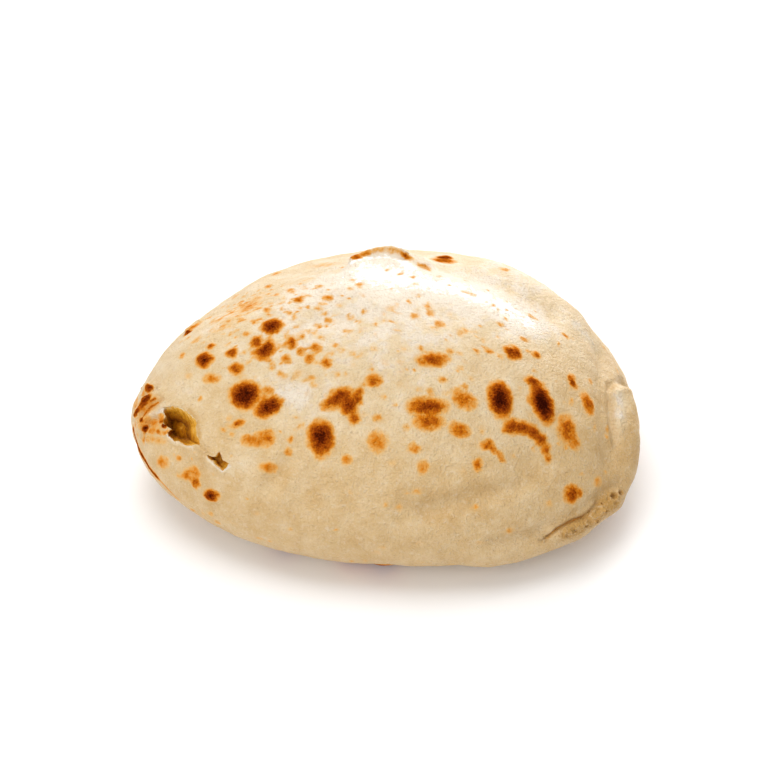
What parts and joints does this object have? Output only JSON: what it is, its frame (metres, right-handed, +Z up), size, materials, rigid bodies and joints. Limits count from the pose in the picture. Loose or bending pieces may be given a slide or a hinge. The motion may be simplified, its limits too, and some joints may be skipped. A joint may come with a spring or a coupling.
{
  "type": "cheese naan",
  "caption": "Puffed teardrop flatbread with scorched blisters, torn open near its narrow end over a layer of melted cheese.",
  "frame": {"origin": "centre of the base, on the surface that the bread rests on", "axes": "+Z up, +X towards the broad end, and the tears face -X and -Y"},
  "size_m": [0.2482, 0.2012, 0.0939],
  "materials": {
    "dough": "matte, floury, scorched brown in spots",
    "cheese": "soft satin, melted"
  },
  "bodies": {
    "root": {"naan_bread": "dough", "cheese_filling": "cheese"}
  },
  "joints": []
}
